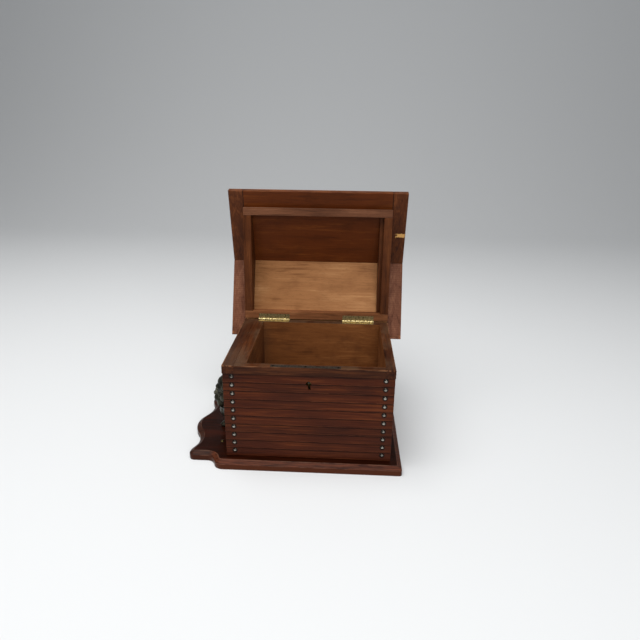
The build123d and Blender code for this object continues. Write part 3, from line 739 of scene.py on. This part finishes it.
print(len(metals), "metals")

# %% [markdown]
# Edges of real boards are never razor sharp, and a rounded arris catches light.
# The frame's meshes are loose triangles, so each wooden piece with edges in view
# first gets a weld and a planar merge as live modifiers, then a fine bevel on its
# sharp edges.

# %% Soft arrises on the wooden pieces
WELD_MM = 0.01
FLAT_WITHIN = radians(0.5)
SHARP_FROM = radians(35)


def soften(node, width_mm):
    """Live modifiers that round a piece's sharp edges without touching its mesh."""
    weld = node.modifiers.new("weld", "WELD")
    weld.merge_threshold = WELD_MM * MM
    merge = node.modifiers.new("merge_flats", "DECIMATE")
    merge.decimate_type = "DISSOLVE"
    merge.angle_limit = FLAT_WITHIN
    bevel = node.modifiers.new("soft_arris", "BEVEL")
    bevel.width = width_mm * MM
    bevel.segments = 2
    bevel.limit_method = "ANGLE"
    bevel.angle_limit = SHARP_FROM
    bevel.harden_normals = True


arris_mm = {
    "plinth": 0.5,
    "clapboard": 0.25,
    "wall": 0.35,
    "rail": 0.4,
    "gable": 0.3,
    "roof": 0.3,
    "verge": 0.5,
    "surround": 0.4,
}
for name, node in nodes.items():
    for part, width in arris_mm.items():
        if part in name and "nails" not in name:
            soften(node, width)
            break
print(sum(len(node.modifiers) > 0 for node in nodes.values()), "pieces have soft arrises")

# %% [markdown]
# The bulldog is one casting that stands on the yard and fills the doorway. A
# modeller in clay starts from simple masses and then works the surface, and the
# same is done here, with two kinds of clay: stretched spheres and bent tubes.
# Their places are given in millimetres from the foot of the doorway: outwards,
# then to the rear, then up.

# %% Clay: stretched spheres and bent tubes
wall_x = left_x
yard_z = plinth_high.z


def select_only(*pieces):
    """Make these objects the whole selection, the last one active."""
    bpy.ops.object.select_all(action="DESELECT")
    for piece in pieces:
        piece.select_set(True)
    bpy.context.view_layer.objects.active = pieces[-1]


def egg(centre, radii, lean=0.0, toe_out=0.0, roll=0.0, segments=32):
    """A stretched sphere, turned by three angles in degrees."""
    bpy.ops.object.select_all(action="DESELECT")
    bpy.ops.mesh.primitive_uv_sphere_add(segments=segments, ring_count=segments // 2, radius=1.0)
    piece = bpy.context.object
    piece.scale = tuple(radius * MM for radius in radii)
    piece.rotation_euler = (radians(roll), radians(lean), radians(toe_out))
    piece.location = (wall_x - centre[0] * MM, centre[1] * MM, yard_z + centre[2] * MM)
    bpy.ops.object.transform_apply(location=True, rotation=True, scale=True)
    return piece


def pair(centre, radii, toe_out=0.0, roll=0.0):
    """The same mass on both sides."""
    out, aside, up = centre
    return [
        egg((out, -aside, up), radii, toe_out=-toe_out, roll=-roll),
        egg((out, aside, up), radii, toe_out=toe_out, roll=roll),
    ]


def tube(points, thickness_mm):
    """A bent tube through these points."""
    curve = bpy.data.curves.new("tube", "CURVE")
    curve.dimensions = "3D"
    curve.bevel_depth = thickness_mm * MM
    curve.bevel_resolution = 3
    curve.use_fill_caps = True
    line = curve.splines.new("NURBS")
    line.points.add(len(points) - 1)
    for point, (out, aside, up) in zip(line.points, points):
        point.co = (wall_x - out * MM, aside * MM, yard_z + up * MM, 1.0)
    line.use_endpoint_u = True
    line.order_u = 3
    holder = bpy.data.objects.new("tube", curve)
    bpy.context.scene.collection.objects.link(holder)
    select_only(holder)
    bpy.ops.object.convert(target="MESH")
    return bpy.context.object


def on_side(side, points):
    """These points on one side of the figure: -1 is the front of the box and 1 its rear."""
    return [(out, side * aside, up) for out, aside, up in points]


print("the figure stands at x", wall_x, "on a yard at z", yard_z)

# %% [markdown]
# The masses come first, as big as they can be read: trunk, neck, skull, muzzle,
# jowls, shoulders, forelegs and paws, then the small raised forms, which are
# toes, ears, eyelids and the roll of skin over the nose. Only the profile shows
# in the photograph, so the front is that of the breed.

# %% Masses of the bulldog
lumps = [
    egg((5, 0, 21), (17.5, 16.5, 15)),
    egg((-2, 0, 11), (10, 16, 12)),
    egg((8, 0, 26), (13, 13, 10)),
    egg((3, 0, 34), (14, 15.5, 14)),
    egg((7.5, 0, 53), (16.6, 17.0, 14.4)),
    egg((11.2, 0, 58.8), (12.2, 12.6, 7.9)),
    egg((17.0, 0, 41.5), (10.2, 9.5, 6.5)),
    egg((26.4, 0, 42.4), (3.0, 4.2, 2.9)),
    egg((19.5, 0, 32.6), (6.4, 6.4, 3.0)),
    egg((14.5, 0, 28.2), (8.6, 9.6, 3.4), lean=-8),
]
lumps += pair((19.4, 6.8, 55.4), (5.4, 5.4, 3.0), toe_out=18, roll=-18)
lumps += pair((16.6, 10.6, 47.2), (5.8, 4.8, 2.8), toe_out=20, roll=-12)
lumps += pair((9.5, 12.6, 43.0), (9.0, 7.2, 8.6))
lumps += pair((20.0, 5.4, 39.0), (7.6, 5.6, 6.4), toe_out=-14)
lumps += pair((15.5, 9.8, 34.2), (7.6, 4.6, 8.0), toe_out=-10, roll=-8)
lumps += pair((6.5, 12.0, 25), (9.0, 6.6, 11.0))
lumps += pair((9.5, 10.4, 14), (5.6, 4.8, 11.0), roll=5)
lumps += pair((11.0, 8.8, 7.0), (5.0, 4.4, 6.0))
lumps += pair((12.8, 8.2, 3.4), (6.6, 4.9, 3.8), toe_out=6)
PAW_MIDDLE = 8.2
TOE_SPREAD = 3
for toe_y, toe_x in ((4.9, 16.2), (7.2, 17.8), (9.7, 17.7), (12.0, 15.8)):
    lumps += pair((toe_x, toe_y, 2.4), (2.7, 1.4, 2.2), toe_out=(toe_y - PAW_MIDDLE) * TOE_SPREAD)
print(len(lumps), "masses")

# %% Ears, eyelids and the roll over the nose
eyelid = [(18.6, 4.2, 50.4), (21.4, 5.0, 53.2), (21.6, 7.8, 54.0), (19.6, 10.8, 52.6), (17.4, 12.4, 49.6)]
nose_roll = [
    (18.0, -11.5, 41.5),
    (23.4, -6.4, 45.4),
    (26.2, 0.0, 47.8),
    (23.4, 6.4, 45.4),
    (18.0, 11.5, 41.5),
]
for side in (-1, 1):
    lumps.append(egg((7.4, side * 13.6, 64.6), (4.4, 3.6, 1.9), roll=side * 24))
    lumps.append(egg((9.4, side * 17.0, 62.6), (4.6, 1.5, 4.0), toe_out=side * 16, roll=side * 34))
    lumps.append(egg((12.2, side * 18.9, 58.6), (2.9, 1.2, 3.6), lean=-16, toe_out=side * 22, roll=side * 18))
    lumps.append(tube(on_side(side, eyelid), 1.1))
lumps.append(tube(nose_roll, 1.7))
select_only(*lumps)
bpy.ops.object.join()
figure = bpy.context.object
figure.name = "bulldog_casting"
print("bulldog in", len(figure.data.polygons), "faces before it is fused")

# %% [markdown]
# The folds are tubes bent to the line of each wrinkle, and with them go small
# spheres for the eye sockets and the nostrils. Joined into one tool, they are
# taken away from the fused masses. The eyes are set in afterwards, and the last
# remesh and smoothing turn all the cuts into soft creases, as in a worn casting.

# %% Folds, mouth, eye sockets and nostrils
brow_furrow = [(22.4, 0, 62.6), (24.8, 0, 58), (25.0, 0, 53), (24.2, 0, 50.0)]
lip_split = [(28.6, 0, 39.8), (27.8, 0, 37.5), (26.2, 0, 34.8)]
side_folds = (
    ([(25.8, 0.4, 50.2), (24.6, 4.0, 49.0), (22.0, 8.4, 46.4), (18.6, 12.4, 42.6)], 0.8),
    ([(27.4, 0.6, 46.0), (26.0, 4.4, 43.6), (22.8, 9.0, 40.8), (17.4, 13.4, 36.4)], 0.8),
    ([(26.8, 0.4, 34.6), (25.8, 4.6, 33.6), (22.0, 9.0, 30.0), (16.0, 13.2, 27.0)], 1.0),
    ([(20.4, 2.6, 64.0), (21.0, 7.0, 62.4), (17.6, 12.4, 59.0)], 0.7),
    ([(10.5, 14.4, 57.0), (7.4, 17.4, 58.4), (4.5, 17.6, 61.0)], 0.8),
    ([(8.5, 18.2, 33.5), (15.4, 14.8, 26.4), (21.4, 6.0, 23.9), (22.9, 0, 23.4)], 1.1),
    ([(14.0, 14.0, 22.0), (16.0, 7.0, 14.0), (13.0, 3.2, 6.0)], 0.8),
)
tools = [tube(brow_furrow, 0.8), tube(lip_split, 0.7)]
for side in (-1, 1):
    for points, thickness in side_folds:
        tools.append(tube(on_side(side, points), thickness))
    tools.append(egg((23.8, 7.6 * side, 51.0), (3.0, 3.2, 2.7), segments=16))
    tools.append(egg((29.0, 1.9 * side, 42.4), (1.3, 0.9, 0.9), segments=12))
select_only(*tools)
bpy.ops.object.join()
cutter = bpy.context.object
print(len(tools), "cutting tools")


# %% Fuse, cut and smooth
def apply_modifier(piece, kind, **settings):
    """Add one modifier, set it and apply it."""
    select_only(piece)
    modifier = piece.modifiers.new(kind.lower(), kind)
    for key, value in settings.items():
        setattr(modifier, key, value)
    bpy.ops.object.modifier_apply(modifier=modifier.name)


def voxel_mm(size):
    """Remesh settings for voxels of this size."""
    return {"mode": "VOXEL", "voxel_size": size * MM, "use_smooth_shade": True}


apply_modifier(figure, "REMESH", **voxel_mm(0.5))
apply_modifier(cutter, "REMESH", **voxel_mm(0.4))
apply_modifier(figure, "BOOLEAN", operation="DIFFERENCE", object=cutter, solver="MANIFOLD")
bpy.data.objects.remove(cutter)
eyes = pair((21.4, 7.6, 50.9), (2.5, 2.6, 2.3))
select_only(*eyes, figure)
bpy.ops.object.join()
apply_modifier(figure, "REMESH", **voxel_mm(0.55))
apply_modifier(figure, "SMOOTH", factor=0.5, iterations=4)
print("bulldog in", len(figure.data.polygons), "faces after the remesh")

# %% [markdown]
# The casting stands flat on the plinth, so the sculpt is cut level just above
# the yard and the cut is filled. The new figure takes the place of the plain
# one in the frame.

# %% Flat under the paws
STANDING_GAP_MM = 0.02
CUT_REACH_MM = 0.001
select_only(figure)
bpy.ops.object.mode_set(mode="EDIT")
bpy.ops.mesh.select_all(action="SELECT")
bpy.ops.mesh.bisect(
    plane_co=(0, 0, yard_z + STANDING_GAP_MM * MM),
    plane_no=(0, 0, 1),
    use_fill=True,
    clear_inner=True,
    threshold=CUT_REACH_MM * MM,
)
bpy.ops.mesh.select_all(action="DESELECT")
bpy.ops.object.mode_set(mode="OBJECT")
bpy.ops.object.shade_smooth()
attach(figure, "case")
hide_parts("bulldog")
print("bulldog", len(figure.data.polygons), "faces")


# %% [markdown]
# The casting is a dull olive-grey metal. What stands out is painted paler, polish
# from handling and a painted highlight together, and the creases are painted
# dark, dirt and painted shade together; the curvature of the dense mesh tells
# the two apart.

# %% Cast metal
def cast_finish():
    """Olive-grey metal, paler where it stands out and dark in its creases: painted highlight and shade along
    with polish and dirt.
    """
    finish = Finish("cast_metal")
    place = finish.place_mm()
    curvature = finish.node("ShaderNodeNewGeometry", out="Pointiness")
    patches = finish.noise(finish.stretched(place, (7.0, 7.0, 7.0)), 3.0, 0.6)
    grit = finish.noise(finish.stretched(place, (0.9, 0.9, 0.9)), 2.0)
    # What stands out is painted paler: polish from handling and a painted highlight.
    proud_polish_and_highlight = curvature.ramp(0.50, 0.58)
    # The creases are painted dark: dirt and painted shade.
    crease_dirt_and_shade = curvature.ramp(0.49, 0.43)
    colour = finish.mix(patches.ramp(0.35, 0.65), linear(28, 27, 20), linear(58, 56, 43))
    colour = finish.mix(proud_polish_and_highlight * 0.65, colour, linear(146, 140, 116))
    colour = finish.mix(crease_dirt_and_shade * 0.9, colour, linear(14, 13, 10))
    return finish.paint(
        Base_Color=colour,
        Metallic=0.8,
        Roughness=crease_dirt_and_shade * 0.25 + grit * 0.15 + 0.33,
        Normal=finish.bump(grit * 0.5 + patches, 0.12, 0.15),
    )


dress(figure, cast_finish())
print("the figure is finished in", figure.data.materials[0].name)
